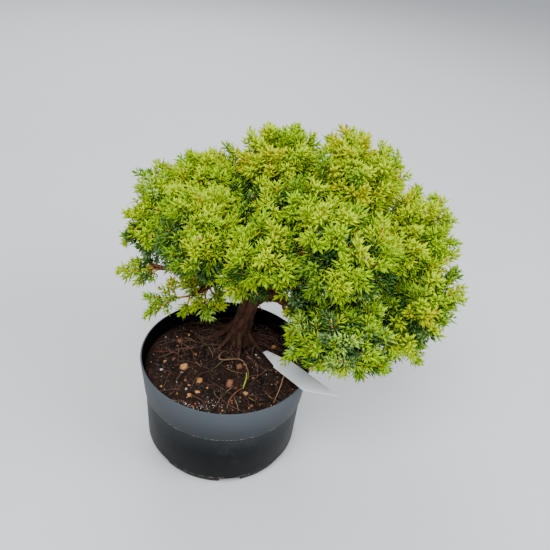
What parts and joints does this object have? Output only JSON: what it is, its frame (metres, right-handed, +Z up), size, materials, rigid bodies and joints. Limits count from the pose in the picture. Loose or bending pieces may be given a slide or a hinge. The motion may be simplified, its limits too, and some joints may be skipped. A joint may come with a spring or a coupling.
{
  "type": "potted dwarf juniper",
  "caption": "Low spreading dwarf juniper with a leaning trunk, surface roots and cushions of short needles, in a round plastic nursery pot with a blank label.",
  "frame": {"origin": "centre of the pot's flat underside", "axes": "+Z up, -Y the front, towards the viewer, +X to the viewer's right, where the crown reaches furthest"},
  "size_m": [0.2335, 0.1967, 0.2169],
  "materials": {
    "pot": "satin",
    "soil": "matte",
    "bark": "matte",
    "needles": "matte",
    "label": "satin"
  },
  "bodies": {
    "root": {"pot": "pot", "soil": "soil", "trunk": "bark", "bough_right": "bark", "bough_left_low": "bark", "bough_left_tip": "bark", "bough_left": "bark", "bough_front": "bark", "bough_front_left": "bark", "bough_centre_right": "bark", "bough_centre": "bark", "bough_top_left": "bark", "bough_top_right": "bark", "bough_back_left": "bark", "bough_back": "bark", "bough_back_right": "bark", "bough_front_right": "bark", "bough_right_high": "bark", "bough_right_back": "bark", "foliage_left_low": "needles", "foliage_left_tip": "needles", "foliage_left": "needles", "foliage_front_left": "needles", "foliage_front": "needles", "foliage_centre": "needles", "foliage_centre_right": "needles", "foliage_top_left": "needles", "foliage_top": "needles", "foliage_top_right": "needles", "foliage_right": "needles", "foliage_right_low": "needles", "foliage_front_right": "needles", "foliage_back_left": "needles", "foliage_back": "needles", "foliage_back_right": "needles", "foliage_right_back": "needles", "label": "label"}
  },
  "joints": []
}
